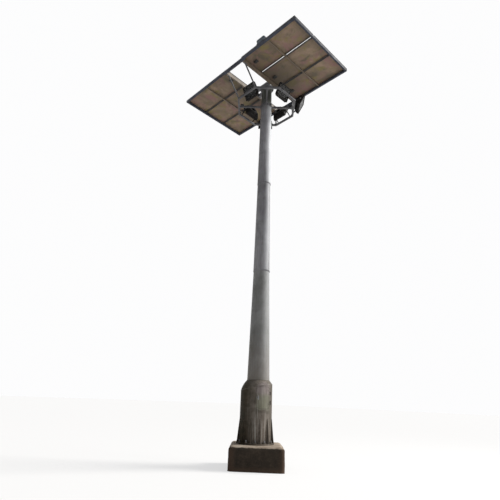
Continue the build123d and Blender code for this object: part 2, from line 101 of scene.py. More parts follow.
def mast_radius(z):
    """Outer radius of the mast at height z, over its three tapered lengths."""
    spans = [
        (lower_low.z, lower_high.x, middle_low.z, middle_high.x - MAST_WALL),
        (middle_low.z, middle_high.x, upper_low.z, upper_high.x - MAST_WALL),
        (upper_low.z, upper_high.x, upper_high.z, MAST_TOP_RADIUS),
    ]
    for z_low, r_low, z_high, r_high in spans:
        if z < z_high or z_high == upper_high.z:
            return r_low + (r_high - r_low) * (z - z_low) / (z_high - z_low)


def around(degrees):
    """Unit vector in the level plane at an angle from +X."""
    return Vector((math.cos(math.radians(degrees)), math.sin(math.radians(degrees)), 0.0))


def facing(origin, x_axis, z_axis):
    """Placement with its own x and z axes, for a detail that sits on a face."""
    x_axis = x_axis.normalized()
    z_axis = z_axis.normalized()
    turn = Matrix((x_axis, z_axis.cross(x_axis), z_axis)).transposed().to_4x4()
    return Matrix.Translation(origin) @ turn


def at(x, y, z):
    """Placement that is only moved."""
    return Matrix.Translation((x, y, z))


def hung(x, y, z):
    """Placement that hangs down from a level face."""
    return facing(Vector((x, y, z)), EAST, -UP)


def rounded(half_width, half_height, corner, steps):
    """Points round a rectangle with round corners, as (x, y)."""
    points = []
    for turn, (sx, sy) in enumerate([(1, 1), (-1, 1), (-1, -1), (1, -1)]):
        for i in range(steps + 1):
            angle = math.pi / 2 * (turn + i / steps)
            x = sx * (half_width - corner) + corner * math.cos(angle)
            points.append((x, sy * (half_height - corner) + corner * math.sin(angle)))
    return points


# ---------- mesh building

def skin(bm, rings, loop=False):
    """Join rings of points into one closed skin; with loop, the last ring joins the first."""
    verts = [[bm.verts.new(point) for point in ring] for ring in rings]
    count = len(rings[0])
    pairs = list(zip(verts, verts[1:]))
    if loop:
        pairs.append((verts[-1], verts[0]))
    for first, second in pairs:
        for i in range(count):
            j = (i + 1) % count
            bm.faces.new((first[i], first[j], second[j], second[i]))
    if not loop:
        bm.faces.new(verts[0][::-1])
        bm.faces.new(verts[-1])


def lathe(bm, place, outline, sides, loop=False):
    """Turn an outline of (radius, height) points about the placement's z axis."""
    spokes = [around(360.0 * (i + 0.5) / sides) for i in range(sides)]
    rings = [[place @ (spoke * radius + UP * height) for spoke in spokes] for radius, height in outline]
    skin(bm, rings, loop)


def sweep(bm, points, sizes, sides, loop=False, ref=UP):
    """Round tube along points, with its own radius at each."""
    rings = []
    count = len(points)
    spokes = [around(360.0 * k / sides) for k in range(sides)]
    for i, point in enumerate(points):
        before = points[i - 1] if loop or i > 0 else point
        after = points[(i + 1) % count] if loop or i < count - 1 else point
        tangent = (after - before).normalized()
        side = tangent.cross(ref).normalized()
        top = side.cross(tangent)
        rings.append([point + (side * spoke.x + top * spoke.y) * sizes[i] for spoke in spokes])
    skin(bm, rings, loop)


def weld(bm, points, size, loop=False, ref=UP):
    """Weld bead: a thin tube with the ripples that a hand weld leaves."""
    sizes = [size * (1.0 + 0.16 * math.sin(2.1 * i) + 0.10 * math.sin(0.37 * i)) for i in range(len(points))]
    sweep(bm, points, sizes, 6, loop, ref)


def raised(place, outline, level):
    """Points of a flat outline at a level above a placement."""
    return [place @ Vector((x, y, level)) for x, y in outline]


def slab(bm, place, size, bevel=0.002):
    """Flat bar or plate with broken edges, standing on the placement's origin."""
    width, depth, height = size
    steps = ((bevel, 0.0), (0.0, bevel), (0.0, height - bevel), (bevel, height))
    skin(bm, [
        raised(place, rounded(width / 2 - inset, depth / 2 - inset, bevel, 1), level)
        for inset, level in steps
    ])


def plate(bm, place, corners, thickness, bevel=0.0015):
    """Flat plate of any convex outline, with its edges broken on both faces."""
    corners = [Vector(corner) for corner in corners]
    middle = sum(corners, Vector((0.0, 0.0))) / len(corners)
    chamfer = bevel * 1.4
    rings = []
    for inset, level in ((chamfer, 0.0), (0.0, bevel), (0.0, thickness - bevel), (chamfer, thickness)):
        moved = [middle + (c - middle) * (1.0 - inset / (c - middle).length) for c in corners]
        rings.append(raised(place, moved, level))
    skin(bm, rings)


def hex_bolt(bm, place, across_flats=0.024, head=0.011, washer=0.019):
    """Hexagon head on a washer, seated on the placement's origin."""
    reach = across_flats / math.sqrt(3.0)
    lathe(bm, place, [(washer, 0.0), (washer, 0.002), (washer - 0.001, 0.003)], 20)
    lathe(bm, place, [(reach, 0.003), (reach, head - 0.001), (reach * 0.9, head + 0.002)], 6)


def screw(bm, place, radius, height):
    """Domed screw head with a driver recess."""
    lathe(bm, place, [
        (radius, 0.0), (radius, height * 0.35), (radius * 0.78, height * 0.85), (radius * 0.45, height),
        (radius * 0.40, height * 0.45),
    ], 14)


def build(make, finish, body="tower", slot="galvanised_steel", name=None, stands_for=None):
    """Make one piece and let it ride on a body, in place of a CAD node if one is named.

    The piece has the name of the function that makes it, unless it is given another.
    """
    bm = bmesh.new()
    make(bm)
    bmesh.ops.recalc_face_normals(bm, faces=bm.faces)
    mesh = bpy.data.meshes.new(name or make.__name__)
    bm.to_mesh(mesh)
    bm.free()
    mesh.shade_smooth()
    mesh.set_sharp_from_angle(angle=math.radians(38.0))
    mesh.materials.append(finish)
    piece = bpy.data.objects.new(mesh.name, mesh)
    bpy.context.scene.collection.objects.link(piece)
    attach(piece, body)
    if stands_for:
        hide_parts(stands_for)


# ---------- materials

class Graph:
    """A node tree that is built by calls."""

    def __init__(self, tree):
        self.tree = tree
        tree.nodes.clear()

    def put(self, socket, value):
        """Link a socket's value, or set it where the value is a constant."""
        if hasattr(value, "is_output"):
            self.tree.links.new(value, socket)
        else:
            socket.default_value = value

    def node(self, kind, *values, **named):
        """Add a node, with its inputs given in order or by name."""
        made = self.tree.nodes.new("ShaderNode" + kind)
        for place, value in enumerate(values):
            self.put(made.inputs[place], value)
        for name, value in named.items():
            self.put(made.inputs[name.replace("_", " ")], value)
        return made

    def maths(self, kind, a, b=0.0):
        node = self.node("Math", a, b)
        node.operation = kind
        return node.outputs[0]

    def plus(self, a, b):
        return self.maths("ADD", a, b)

    def times(self, a, b):
        return self.maths("MULTIPLY", a, b)


class Shade(Graph):
    """One procedural material, in the part's own coordinates."""

    def __init__(self, name):
        self.mat = bpy.data.materials.new(name)
        self.mat.use_nodes = True
        super().__init__(self.mat.node_tree)
        self.bsdf = self.node("BsdfPrincipled")
        self.out = self.node("OutputMaterial", self.bsdf.outputs[0])
        self.coords = self.node("TexCoord").outputs["Object"]
        self.x, self.y, self.z = self.node("SeparateXYZ", self.coords).outputs

    def stretched(self, scale):
        return self.node("Mapping", self.coords, Scale=scale).outputs[0]

    def noise(self, scale, detail=6.0, rough=0.55, stretch=None, distortion=0.0):
        vector = self.stretched(stretch) if stretch else self.coords
        field = dict(Scale=scale, Detail=detail, Roughness=rough, Distortion=distortion)
        return self.node("TexNoise", vector, **field).outputs["Fac"]

    def reach(self, way):
        """How far a point lies along a level direction."""
        return self.plus(self.times(self.x, way.x), self.times(self.y, way.y))

    def from_mast(self):
        """Level distance from the mast's axis."""
        node = self.node("VectorMath", self.stretched((1.0, 1.0, 0.0)))
        node.operation = "LENGTH"
        return node.outputs["Value"]

    def span(self, value, low, high, out_low=0.0, out_high=1.0):
        """Carry one range of values over to another."""
        return self.node("MapRange", value, low, high, out_low, out_high).outputs[0]

    def window(self, value, low, high, soft):
        """1 between two values, falling to 0 over a soft margin outside them."""
        return self.times(self.span(value, low - soft, low), self.span(value, high, high + soft, 1.0, 0.0))

    def wavy(self, value, field, amount, low=0.2, high=0.8):
        """Shift a value up and down by an amount, as a noise field rises from low to high."""
        return self.plus(value, self.span(field, low, high, -amount, amount))

    def from_middle(self, value):
        """How far the value's fraction is from a half."""
        return self.maths("ABSOLUTE", self.maths("SUBTRACT", self.maths("FRACT", value), 0.5))

    def ramp(self, factor, stops):
        node = self.node("ValToRGB", factor)
        while len(node.color_ramp.elements) < len(stops):
            node.color_ramp.elements.new(0.5)
        for element, (place, colour) in zip(node.color_ramp.elements, stops):
            element.position = place
            element.color = (*colour, 1.0)
        return node.outputs[0]

    def mix(self, factor, a, b, kind="MIX"):
        node = self.node("Mix", factor)
        node.data_type = "RGBA"
        node.blend_type = kind
        for place, colour in ((6, a), (7, b)):
            self.put(node.inputs[place], (*colour, 1.0) if isinstance(colour, tuple) else colour)
        return node.outputs[2]

    def stain(self, colour, value, low, high, amount, other, start=0.0):
        """Mix in another colour, by an amount that goes from start as a value rises from low to high."""
        return self.mix(self.span(value, low, high, start, amount), colour, other)

    def bump(self, height, strength, distance):
        return self.node("Bump", Strength=strength, Distance=distance, Height=height).outputs[0]

    def finish(self, colour, rough, metallic=0.0, **sockets):
        sockets.update(Base_Color=colour, Roughness=rough, Metallic=metallic)
        for name, value in sockets.items():
            self.put(self.bsdf.inputs[name.replace("_", " ")], value)
        return self.mat


def scaled(factor, *colour):
    """A colour made lighter or darker."""
    return tuple(part * factor for part in colour)


def galvanised(name, tone=1.0, streaks=0.5, green=0.0, dust_top=0.0, painted_shade_from=0.0, painted_highlight=0.0):
    """Weathered zinc: cloudy patches, spangle, streaks, spots and dust, a painted highlight on the side
    towards the camera's right and painted shade from just below the lamp ring up.
    """
    s = Shade(name)
    patches = s.noise(1.9, 9.0, 0.62, (1.0, 1.0, 0.45), 0.4)
    grey = s.ramp(patches, [
        (0.30, scaled(tone, 0.118, 0.117, 0.128)),
        (0.50, scaled(tone, 0.198, 0.197, 0.210)),
        (0.70, scaled(tone, 0.302, 0.300, 0.312)),
    ])
    spangle = s.node("TexVoronoi", s.stretched((1.0, 1.0, 0.8)), Scale=60.0).outputs["Color"]
    colour = s.mix(0.07, grey, spangle, "SOFT_LIGHT")
    dark_runs = s.noise(11.0, 6.0, 0.66, (2.4, 2.4, 0.05))
    colour = s.stain(colour, dark_runs, 0.50, 0.74, streaks, scaled(tone, 0.062, 0.058, 0.058))
    pale_runs = s.noise(7.0, 6.0, 0.6, (1.6, 1.6, 0.10))
    colour = s.stain(colour, pale_runs, 0.60, 0.78, 0.35, scaled(tone, 0.36, 0.355, 0.35))
    bands = s.noise(2.3, 3.0, 0.5, (0.05, 0.05, 1.6))
    colour = s.stain(colour, bands, 0.52, 0.70, 0.28, scaled(tone, 0.085, 0.088, 0.080))
    if green > 0.0:
        colour = s.stain(colour, patches, 0.3, 0.7, green * 0.5, (0.105, 0.112, 0.082), start=green)
    spots = s.noise(30.0, 3.0, 0.6, (1.0, 1.0, 0.4))
    colour = s.stain(colour, spots, 0.66, 0.80, 0.40, (0.115, 0.082, 0.055))
    if dust_top > 0.0:
        height = s.wavy(s.z, patches, 0.5)
        colour = s.stain(colour, height, dust_top - 1.6, dust_top, 0.0, (0.145, 0.118, 0.092), start=0.55)
    # Painted highlight: pale zinc on the side towards the camera's right, growing up the mast.
    if painted_highlight > 0.0:
        side = s.wavy(s.reach(across), patches, 0.05)
        cover = s.times(s.span(side, 0.0, MAST_TOP_RADIUS), s.span(s.z, 3.2, 6.6, 0.1, painted_highlight))
        colour = s.mix(cover, colour, (0.43, 0.445, 0.47))
    # Painted shade: the mast darkens nearly to black from just below the lamp ring upwards, under the
    # canopy.
    if painted_shade_from > 0.0:
        height = s.wavy(s.z, patches, 0.15)
        colour = s.stain(colour, height, painted_shade_from, painted_shade_from + 0.5, 0.88, (0.036, 0.040, 0.029))
    grain = s.plus(s.noise(210.0, 3.0, 0.6), s.times(s.noise(16.0, 4.0), 1.8))
    rough = s.span(patches, 0.3, 0.8, 0.62, 0.42)
    return s.finish(colour, rough, Normal=s.bump(grain, 0.25, 0.0015), Specular_IOR_Level=0.12)


def base_paint(name, lift=1.0):
    """Base section: dull zinc with old paint round the door and mud from below; painted shade darkens the
    side towards the camera's left and the edge towards its right.
    """
    s = Shade(name)
    patches = s.noise(3.4, 9.0, 0.64, None, 0.5)
    drift = s.span(patches, 0.2, 0.8, -1.0, 1.0)
    colour = s.ramp(patches, [
        (0.32, scaled(lift, 0.085, 0.073, 0.060)),
        (0.52, scaled(lift, 0.140, 0.122, 0.104)),
        (0.72, scaled(lift, 0.215, 0.192, 0.168)),
    ])
    level = s.plus(s.z, s.times(drift, 0.09))
    front = s.plus(s.reach(around(DOOR_ANGLE)), s.times(drift, 0.03))
    front = s.span(front, BASE_RADIUS * 0.78, BASE_RADIUS * 0.90)
    # Old paint above, algae at mid height and a dark band just below the door, each over a span of levels.
    marks = [
        (DOOR_LEVEL + 0.10, hood_high.z + 0.2, 0.14, 0.75, scaled(lift, 0.185, 0.158, 0.158)),
        (DOOR_LEVEL - 0.26, DOOR_LEVEL + 0.02, 0.12, 0.75, scaled(lift, 0.125, 0.132, 0.094)),
        (DOOR_LEVEL - 0.40, DOOR_LEVEL - 0.34, 0.03, 0.60, (0.050, 0.043, 0.034)),
    ]
    for low, high, soft, amount, other in marks:
        cover = s.times(front, s.window(level, low, high, soft))
        colour = s.mix(s.times(cover, amount), colour, other)
    runs = s.noise(13.0, 6.0, 0.68, (2.2, 2.2, 0.10))
    colour = s.stain(colour, runs, 0.48, 0.70, 0.60, (0.050, 0.041, 0.033))
    height = s.wavy(s.z, s.noise(4.0, 7.0, 0.62), 0.35, 0.25, 0.75)
    mud = s.span(height, 0.75, 1.35, 0.70, 0.05)
    colour = s.mix(mud, colour, s.ramp(s.noise(17.0, 7.0, 0.68), [
        (0.32, (0.065, 0.049, 0.038)), (0.55, (0.130, 0.106, 0.086)), (0.75, (0.245, 0.212, 0.184)),
    ]))
    pale = s.noise(9.0, 6.0, 0.62, (3.0, 3.0, 0.14))
    washed = s.times(s.span(pale, 0.52, 0.68), s.span(level, 0.8, 1.6, 0.85, 0.35))
    colour = s.mix(washed, colour, (0.33, 0.315, 0.29))
    # Painted shade: the side towards the camera's left is darkened nearly to black.
    side = s.plus(s.reach(across), s.times(drift, 0.09))
    darkening = s.span(side, -BASE_RADIUS * 0.78, BASE_RADIUS * 0.05, 0.95, 0.0)
    colour = s.mix(darkening, colour, s.ramp(s.noise(8.0, 6.0, 0.6), [
        (0.35, (0.013, 0.012, 0.006)), (0.65, (0.034, 0.025, 0.015)),
    ]))
    # Painted shade: darker again towards the edge on the camera's right.
    colour = s.stain(colour, side, BASE_RADIUS * 0.56, BASE_RADIUS * 0.86, 0.85, (0.062, 0.054, 0.045))
    grain = s.plus(s.noise(160.0, 4.0, 0.6), s.times(s.noise(44.0, 4.0, 0.7), 1.4))
    rough = s.span(mud, 0.0, 1.0, 0.62, 0.88)
    return s.finish(colour, rough, Normal=s.bump(grain, 0.4, 0.002), Specular_IOR_Level=0.1)


def concrete(name):
    """Cast concrete: dusty brown top and lip, pale also as painted light; sides dark with mud and painted
    shade; reddish earth at the corners.
    """
    s = Shade(name)
    broad = s.noise(2.4, 8.0, 0.62, None, 0.6)
    fine = s.noise(36.0, 7.0, 0.72)
    # Top: pale with dust and painted light.
    top = s.ramp(broad, [
        (0.28, (0.180, 0.138, 0.102)), (0.5, (0.290, 0.235, 0.185)), (0.75, (0.430, 0.370, 0.305)),
    ])
    top = s.stain(top, fine, 0.42, 0.72, 0.55, (0.46, 0.40, 0.33))
    # Sides: dark with mud and painted shade, far darker than the top.
    side = s.ramp(s.noise(5.0, 8.0, 0.66), [
        (0.32, (0.014, 0.011, 0.008)), (0.55, (0.028, 0.021, 0.015)), (0.76, (0.056, 0.042, 0.030)),
    ])
    side = s.stain(side, fine, 0.50, 0.74, 0.40, (0.075, 0.057, 0.041))
    along = s.maths("ABSOLUTE", s.reach(around(PLINTH_TURN)))
    over = s.maths("ABSOLUTE", s.reach(around(PLINTH_TURN - 90.0)))
    corner = s.wavy(s.maths("MINIMUM", along, over), broad, 0.05)
    side = s.stain(side, corner, PLINTH_HALF - 0.20, PLINTH_HALF - 0.06, 0.60, (0.060, 0.036, 0.024))
    low = s.wavy(s.z, fine, 0.05, 0.3, 0.7)
    side = s.stain(side, low, 0.03, 0.13, 0.0, (0.070, 0.045, 0.030), start=0.7)
    drips = s.noise(9.0, 6.0, 0.66, (1.0, 1.0, 0.12))
    edge = s.plus(s.z, s.span(drips, 0.35, 0.70, -0.008, 0.012))
    colour = s.stain(top, edge, plinth_high.z - 0.050, plinth_high.z - 0.030, 0.0, side, start=1.0)
    pores = s.node("TexVoronoi", s.coords, Scale=52.0).outputs["Distance"]
    grain = s.plus(fine, s.span(pores, 0.05, 0.25, -0.8, 0.0))
    rough = s.span(fine, 0.3, 0.7, 0.96, 0.82)
    return s.finish(colour, rough, Normal=s.bump(grain, 0.6, 0.006), Specular_IOR_Level=0.2)


def painted(name, dark, light, metallic=0.0, rough=(0.62, 0.4), dusting=0.3, scale=4.0, shine=0.3):
    """Painted or coated metal with uneven fading, scuffs and settled dust."""
    s = Shade(name)
    broad = s.noise(scale, 7.0, 0.6)
    colour = s.ramp(broad, [(0.3, dark), (0.75, light)])
    scuffs = s.noise(scale * 14.0, 4.0, 0.65)
    colour = s.stain(colour, scuffs, 0.5, 0.8, dusting, (0.30, 0.25, 0.20))
    grain = s.plus(s.noise(scale * 60.0, 3.0, 0.6), scuffs)
    rough = s.span(broad, 0.3, 0.7, *rough)
    return s.finish(colour, rough, metallic, Normal=s.bump(grain, 0.2, 0.001), Specular_IOR_Level=shine)


CELL_COLUMNS = 12
CELL_ROWS = 18


def cell_grid(s, low, high):
    """1 on the gaps and clipped corners between a wing's solar cells, and 1 on their thin bus bars."""
    near = []
    for value, start, end, count in ((s.x, low.x, high.x, CELL_COLUMNS), (s.y, low.y, high.y, CELL_ROWS)):
        place = s.maths("DIVIDE", s.maths("SUBTRACT", value, start), (end - start) / count)
        near.append(s.from_middle(place))
    gap = s.maths("GREATER_THAN", s.maths("MAXIMUM", *near), 0.485)
    corner = s.maths("GREATER_THAN", s.plus(*near), 0.9)
    bars = s.maths("LESS_THAN", s.from_middle(s.times(place, 3.0)), 0.03)
    return s.maths("MAXIMUM", gap, corner), bars


def module_glass(name):
    """Solar laminate: back sheet below in a dark earth-brown as painted shade and bounce light, with stains
    and more painted shade near the mast; blue cell grid with thin metal lines above.
    """
    s = Shade(name)
    east_low, east_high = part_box("module_frames_east")
    west_low, west_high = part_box("module_frames_west")
    broad = s.noise(1.5, 7.0, 0.62, None, 0.7)
    # Painted shade and bounce light: the back sheet gets a dark earth-brown instead of its own pale colour.
    sheet = s.ramp(broad, [
        (0.32, (0.080, 0.062, 0.040)), (0.50, (0.154, 0.111, 0.074)), (0.68, (0.240, 0.168, 0.114)),
    ])
    olive = s.noise(2.3, 6.0, 0.6, (1.0, 1.3, 1.0), 0.5)
    sheet = s.stain(sheet, olive, 0.50, 0.62, 0.85, (0.140, 0.112, 0.036))
    rosy = s.noise(1.9, 6.0, 0.62, (1.2, 0.9, 2.0), 0.5)
    sheet = s.stain(sheet, rosy, 0.51, 0.64, 0.85, (0.170, 0.088, 0.082))
    darkening = s.noise(1.3, 7.0, 0.66, (1.0, 1.0, 3.0), 0.8)
    sheet = s.stain(sheet, darkening, 0.54, 0.68, 0.80, (0.050, 0.049, 0.030))
    # Painted shade: the back sheet darkens towards the mast, under the lamps.
    near = s.wavy(s.from_mast(), broad, -0.55, 0.25, 0.75)
    sheet = s.stain(sheet, near, 0.7, 1.7, 0.0, (0.058, 0.048, 0.034), start=0.70)
    fine = s.noise(26.0, 6.0, 0.66)
    sheet = s.stain(sheet, fine, 0.50, 0.75, 0.35, (0.090, 0.070, 0.052))
    gap_east, bars_east = cell_grid(s, east_low, east_high)
    gap_west, bars_west = cell_grid(s, west_low, west_high)
    east = s.maths("GREATER_THAN", s.x, (west_high.x + east_low.x) / 2)
    gap = s.mix(east, gap_west, gap_east)
    bars = s.mix(east, bars_west, bars_east)
    cell = s.ramp(s.noise(7.0, 4.0, 0.6), [(0.3, (0.012, 0.022, 0.06)), (0.7, (0.02, 0.036, 0.09))])
    cell = s.mix(s.times(bars, 0.7), cell, (0.42, 0.43, 0.45))
    cell = s.mix(gap, cell, (0.46, 0.46, 0.44))
    dust = s.span(s.noise(2.1, 7.0, 0.65), 0.4, 0.8, 0.05, 0.42)
    cell = s.mix(dust, cell, (0.36, 0.31, 0.25))
    low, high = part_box("module_laminates")
    top = s.maths("GREATER_THAN", s.z, (low.z + high.z) / 2)
    colour = s.mix(top, sheet, cell)
    return s.finish(colour, s.span(top, 0.0, 1.0, 0.75, 0.16), Normal=s.bump(fine, 0.12, 0.001))


def dark_glass(name):
    """Tempered lamp glass, dusty and dark, with clearer patches where rain has run."""
    s = Shade(name)
    dust = s.noise(11.0, 7.0, 0.66, None, 0.4)
    marks = s.noise(70.0, 4.0, 0.6)
    colour = s.ramp(dust, [
        (0.35, (0.012, 0.012, 0.013)), (0.55, (0.024, 0.024, 0.023)), (0.75, (0.070, 0.066, 0.052)),
    ])
    alpha = s.span(dust, 0.38, 0.66, 0.55, 0.94)
    rough = s.span(marks, 0.3, 0.7, 0.12, 0.30)
    film = s.bump(marks, 0.05, 0.0005)
    return s.finish(colour, rough, Normal=film, Alpha=alpha, Specular_IOR_Level=0.2)


def rubber(name):
    """Black rubber gone grey with dust."""
    s = Shade(name)
    broad = s.noise(30.0, 5.0, 0.6)
    colour = s.ramp(broad, [(0.3, (0.012, 0.012, 0.012)), (0.8, (0.045, 0.042, 0.038))])
    return s.finish(colour, s.span(broad, 0.3, 0.7, 0.9, 0.75), Normal=s.bump(broad, 0.2, 0.0008))


def lens(name):
    """Diffusing lens over a lamp's diodes: pale yellow phosphor under dulled plastic."""
    s = Shade(name)
    spots = s.node("TexVoronoi", s.coords, Scale=90.0).outputs["Distance"]
    colour = s.mix(s.span(spots, 0.1, 0.4), (0.62, 0.56, 0.30), (0.70, 0.70, 0.66))
    return s.finish(colour, s.span(spots, 0.0, 0.5, 0.25, 0.4), Normal=s.bump(spots, 0.15, 0.0008))


def reflector(name):
    """Brushed reflector sheet with fine grain."""
    s = Shade(name)
    grain = s.noise(60.0, 4.0, 0.6, (1.0, 1.0, 12.0))
    colour = s.ramp(grain, [(0.3, (0.30, 0.30, 0.31)), (0.7, (0.48, 0.48, 0.49))])
    return s.finish(colour, s.span(grain, 0.3, 0.7, 0.38, 0.22), 0.75, Normal=s.bump(grain, 0.1, 0.0004))


zinc = galvanised("mast_zinc", 0.88, painted_highlight=0.62)
zinc_top = galvanised("mast_zinc_top", 0.90, painted_shade_from=ring_low.z - 0.25, painted_highlight=0.85)
zinc_low = galvanised("mast_zinc_low", 0.90, 0.55, green=0.45, dust_top=3.6, painted_highlight=0.50)
zinc_head = galvanised("head_zinc", 0.80, 0.6)
# Painted shade: zinc much darker than the other zinc, for the ring and its fittings in shade.
ring_zinc = galvanised("ring_zinc", 0.44, 0.5)
bolt_zinc = galvanised("bolt_zinc", 0.95, 0.4)
anchor_zinc = galvanised("anchor_zinc", 0.55, 0.6, green=0.4, dust_top=3.4)
base_steel = base_paint("base_steel")
door_steel = base_paint("door_steel", 1.12)
cast = concrete("cast_concrete")
beam_paint = painted("beam_paint", (0.022, 0.025, 0.035), (0.055, 0.061, 0.080), dusting=0.12, shine=0.08)
# Painted shade: galvanised rails given the brown of the shaded back sheets, with dust.
rail_zinc = painted("rail_zinc", (0.078, 0.062, 0.046), (0.150, 0.118, 0.088), 0.1, dusting=0.35)
# Painted shade: aluminium module frames coloured near-black, as they look in shade.
frame_metal_painted_shade = painted(
    "module_frame_metal", (0.034, 0.032, 0.032), (0.075, 0.070, 0.066),
    rough=(0.75, 0.6), dusting=0.15, shine=0.08)
laminate = module_glass("module_laminate")
black_plastic = painted(
    "junction_plastic", (0.012, 0.012, 0.012), (0.03, 0.03, 0.03),
    rough=(0.6, 0.45), dusting=0.2, scale=12.0)
lamp_paint = painted(
    "lamp_paint", (0.004, 0.004, 0.004), (0.013, 0.011, 0.011),
    rough=(0.7, 0.5), dusting=0.06, scale=9.0, shine=0.1)
glass = dark_glass("lamp_glass")
gasket_rubber = rubber("gasket_rubber")
lamp_lens = lens("lamp_lens")
lamp_tray = reflector("lamp_tray")
unit_paint = painted(
    "unit_paint", (0.022, 0.034, 0.050), (0.062, 0.085, 0.105), 0.1, (0.5, 0.35), dusting=0.15, scale=6.0)
weld_steel = painted(
    "weld_steel", (0.045, 0.039, 0.032), (0.105, 0.090, 0.075), 0.3, (0.6, 0.45), dusting=0.35, scale=16.0)

FINISHES = [
    (cast, "plinth"),
    (base_steel, "base_flange base_ribs base_compartment compartment_hood hinge_posts"),
    (door_steel, "compartment_door door_leaves"),
    (bolt_zinc, "door_handle"),
    (anchor_zinc, "anchor_bolts anchor_nuts"),
    (zinc_low, "shaft_lower"),
    (zinc, "shaft_middle"),
    (zinc_top, "shaft_upper"),
    (zinc_head, "head_plate head_beams"),
    (ring_zinc, "lamp_ring ring_spider ring_hangers"),
    (beam_paint, "edge_beams link_beams outer_cross_beams unit_bracket"),
    (rail_zinc, "inner_cross_beams middle_rails"),
    (frame_metal_painted_shade, "module_frames_east module_frames_west"),
    (laminate, "module_laminates"),
    (black_plastic, "junction_boxes"),
    (lamp_paint, "lamp_cheeks " + " ".join(f"lamp_housing_{number}" for number in LAMPS)),
    (glass, " ".join(f"lamp_glass_{number}" for number in LAMPS)),
    (unit_paint, "edge_unit"),
]
for finish, names in FINISHES:
    for name in names.split():
        nodes[name].data.materials.clear()
        nodes[name].data.materials.append(finish)


# ---------- base

def plinth_block(bm):
    """The plinth's block with rounded, chipped edges and uneven faces; its underside stays flat."""
    half = PLINTH_HALF
    height = plinth_high.z
    spin = Matrix.Rotation(math.radians(PLINTH_TURN), 4, "Z")
    bmesh.ops.create_cube(bm, size=2.0)
    bmesh.ops.subdivide_edges(bm, edges=bm.edges, cuts=52, use_grid_fill=True)
    for vert in bm.verts:
        point = Vector((vert.co.x * half, vert.co.y * half, (vert.co.z + 1.0) * height / 2))
        wear = 0.006 + 0.008 * noise.fractal(point * 3.1, 0.8, 2.0, 4)
        radius = 0.115 + 0.035 * noise.noise(point * 2.3 + Vector((4.0, 1.0, 7.0)))
        core = Vector((
            max(radius - half, min(half - radius, point.x)),
            max(radius - half, min(half - radius, point.y)),
            min(height - radius, point.z),
        ))
        spoke = point - core
        point = core + spoke.normalized() * min(radius, spoke.length)
        if 0.001 < point.z <= height - 0.004:
            point -= Vector((point.x, point.y, 0.0)).normalized() * max(0.0, wear)
        vert.co = spin @ point


build(plinth_block, cast, slot="concrete", stands_for="plinth")


WELD_STEP = 0.011


def circle(centre, radius, z):
    """Points round a level circle, close enough together for a weld's ripples."""
    count = max(12, round(2 * math.pi * radius / WELD_STEP))
    return [centre + around(360.0 * i / count) * radius + UP * z for i in range(count)]


HOOD_MID = (0.075, 0.215)
HOOD_DEPTH = 0.340
HOOD_TOP_RADIUS = lower_high.x + 0.005
HOOD_REACH = BASE_RADIUS + BASE.length + 0.010


def hood_level(radius):
    """Height of the hood's surface at a distance from the mast axis: an arc through three points."""
    start = complex(HOOD_REACH, hood_high.z - HOOD_DEPTH)
    middle = complex(-HOOD_MID[0], HOOD_MID[1])
    end = complex(HOOD_TOP_RADIUS, hood_high.z) - start
    # The centre of the circle through zero, middle and end, as complex numbers measured from the start.
    cross = middle.conjugate() * end - middle * end.conjugate()
    centre = middle * end * (middle - end).conjugate() / cross
    run = radius - start.real - centre.real
    return start.imag + centre.imag + math.sqrt(max(0.0, abs(centre) ** 2 - run ** 2))


def base_welds(bm):
    """Fillet welds at the flange, the ribs, the hood's seam and the foot of the mast."""
    weld(bm, circle(BASE, BASE_RADIUS + 0.002, flange_high.z + 0.003), 0.007, loop=True)
    wall = circle(BASE, BASE_RADIUS, 0.0)
    weld(bm, [point + UP * (hood_level(point.length) - 0.001) for point in wall], 0.006, loop=True)
    weld(bm, circle(Vector(), lower_high.x + 0.002, hood_high.z + 0.003), 0.008, loop=True)
    steps = round(RIB_HEIGHT / 0.012)
    for number in range(RIB_COUNT):
        out = around(360.0 * number / RIB_COUNT)
        side = UP.cross(out)
        for hand in (-1, 1):
            foot = BASE + out * (BASE_RADIUS + 0.002) + side * hand * (RIB_THICKNESS / 2 + 0.002)
            rise = [foot + UP * (flange_high.z + 0.004 + RIB_HEIGHT * i / steps) for i in range(steps)]
            weld(bm, rise, 0.005, ref=out)
            run = [foot + out * (0.006 * i) + UP * (flange_high.z + 0.002) for i in range(12)]
            weld(bm, run, 0.005)


build(base_welds, weld_steel, slot="dusty_steel")

BOLT_CIRCLE = (BASE_RADIUS + FLANGE_RADIUS) / 2
BOLT_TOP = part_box("anchor_bolts")[1].z
NUT_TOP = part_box("anchor_nuts")[1].z
BOLT_RADIUS = 0.016


def anchor_threads(bm):
    """Screw thread on the bolt ends above the nuts."""
    pitch = 0.0035
    turns = int((BOLT_TOP - NUT_TOP) / pitch) - 1
    outline = []
    for turn in range(turns):
        level = NUT_TOP + 0.0005 + turn * pitch
        outline += [(BOLT_RADIUS + 0.0002, level), (BOLT_RADIUS + 0.0018, level + pitch / 2)]
    outline += [(BOLT_RADIUS + 0.0002, BOLT_TOP - 0.003), (BOLT_RADIUS - 0.002, BOLT_TOP + 0.0005)]
    for number in range(RIB_COUNT):
        spot = BASE + around(360.0 * (number + 0.5) / RIB_COUNT) * BOLT_CIRCLE
        lathe(bm, at(*spot), outline, 18)


build(anchor_threads, bolt_zinc)


# ---------- access door

DOOR_OUT = around(DOOR_ANGLE)
DOOR_SIDE = UP.cross(DOOR_OUT)
DOOR_HALF_HEIGHT = (door_high.z - door_low.z) / 2
PIN = Vector(joints["door_hinge"]["pos_m"])
HINGE_ANGLE = math.degrees(math.atan2(PIN.y - BASE.y, PIN.x - BASE.x))
HINGE_INSET = 0.165
LEAF_OUTER = BASE_RADIUS + 0.006


